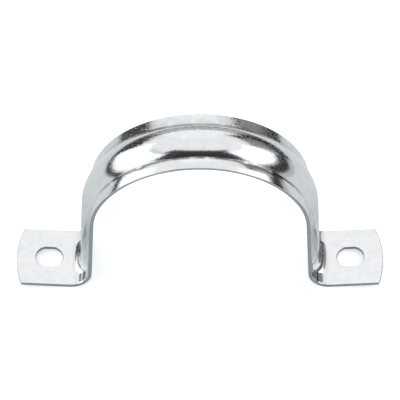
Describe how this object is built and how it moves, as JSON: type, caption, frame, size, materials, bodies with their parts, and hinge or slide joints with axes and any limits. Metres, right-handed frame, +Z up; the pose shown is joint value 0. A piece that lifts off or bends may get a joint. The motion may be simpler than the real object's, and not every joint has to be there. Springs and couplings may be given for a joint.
{
  "type": "omega clamp",
  "caption": "Two-hole omega clamp of bright zinc plated sheet steel: a beaded half-round arch between two slotted feet, holding a pipe to a surface.",
  "frame": {"origin": "middle of the surface that the foot bends rest on, under the middle of the arch", "axes": "+X along the feet, +Y along the pipe, across the strip, +Z up through the arch"},
  "size_m": [0.1138, 0.02, 0.0653],
  "materials": {
    "zinc_plate": "bright zinc plating, smooth, with a fine grain"
  },
  "bodies": {
    "root": {"clamp_strap": "zinc_plate"}
  },
  "joints": []
}
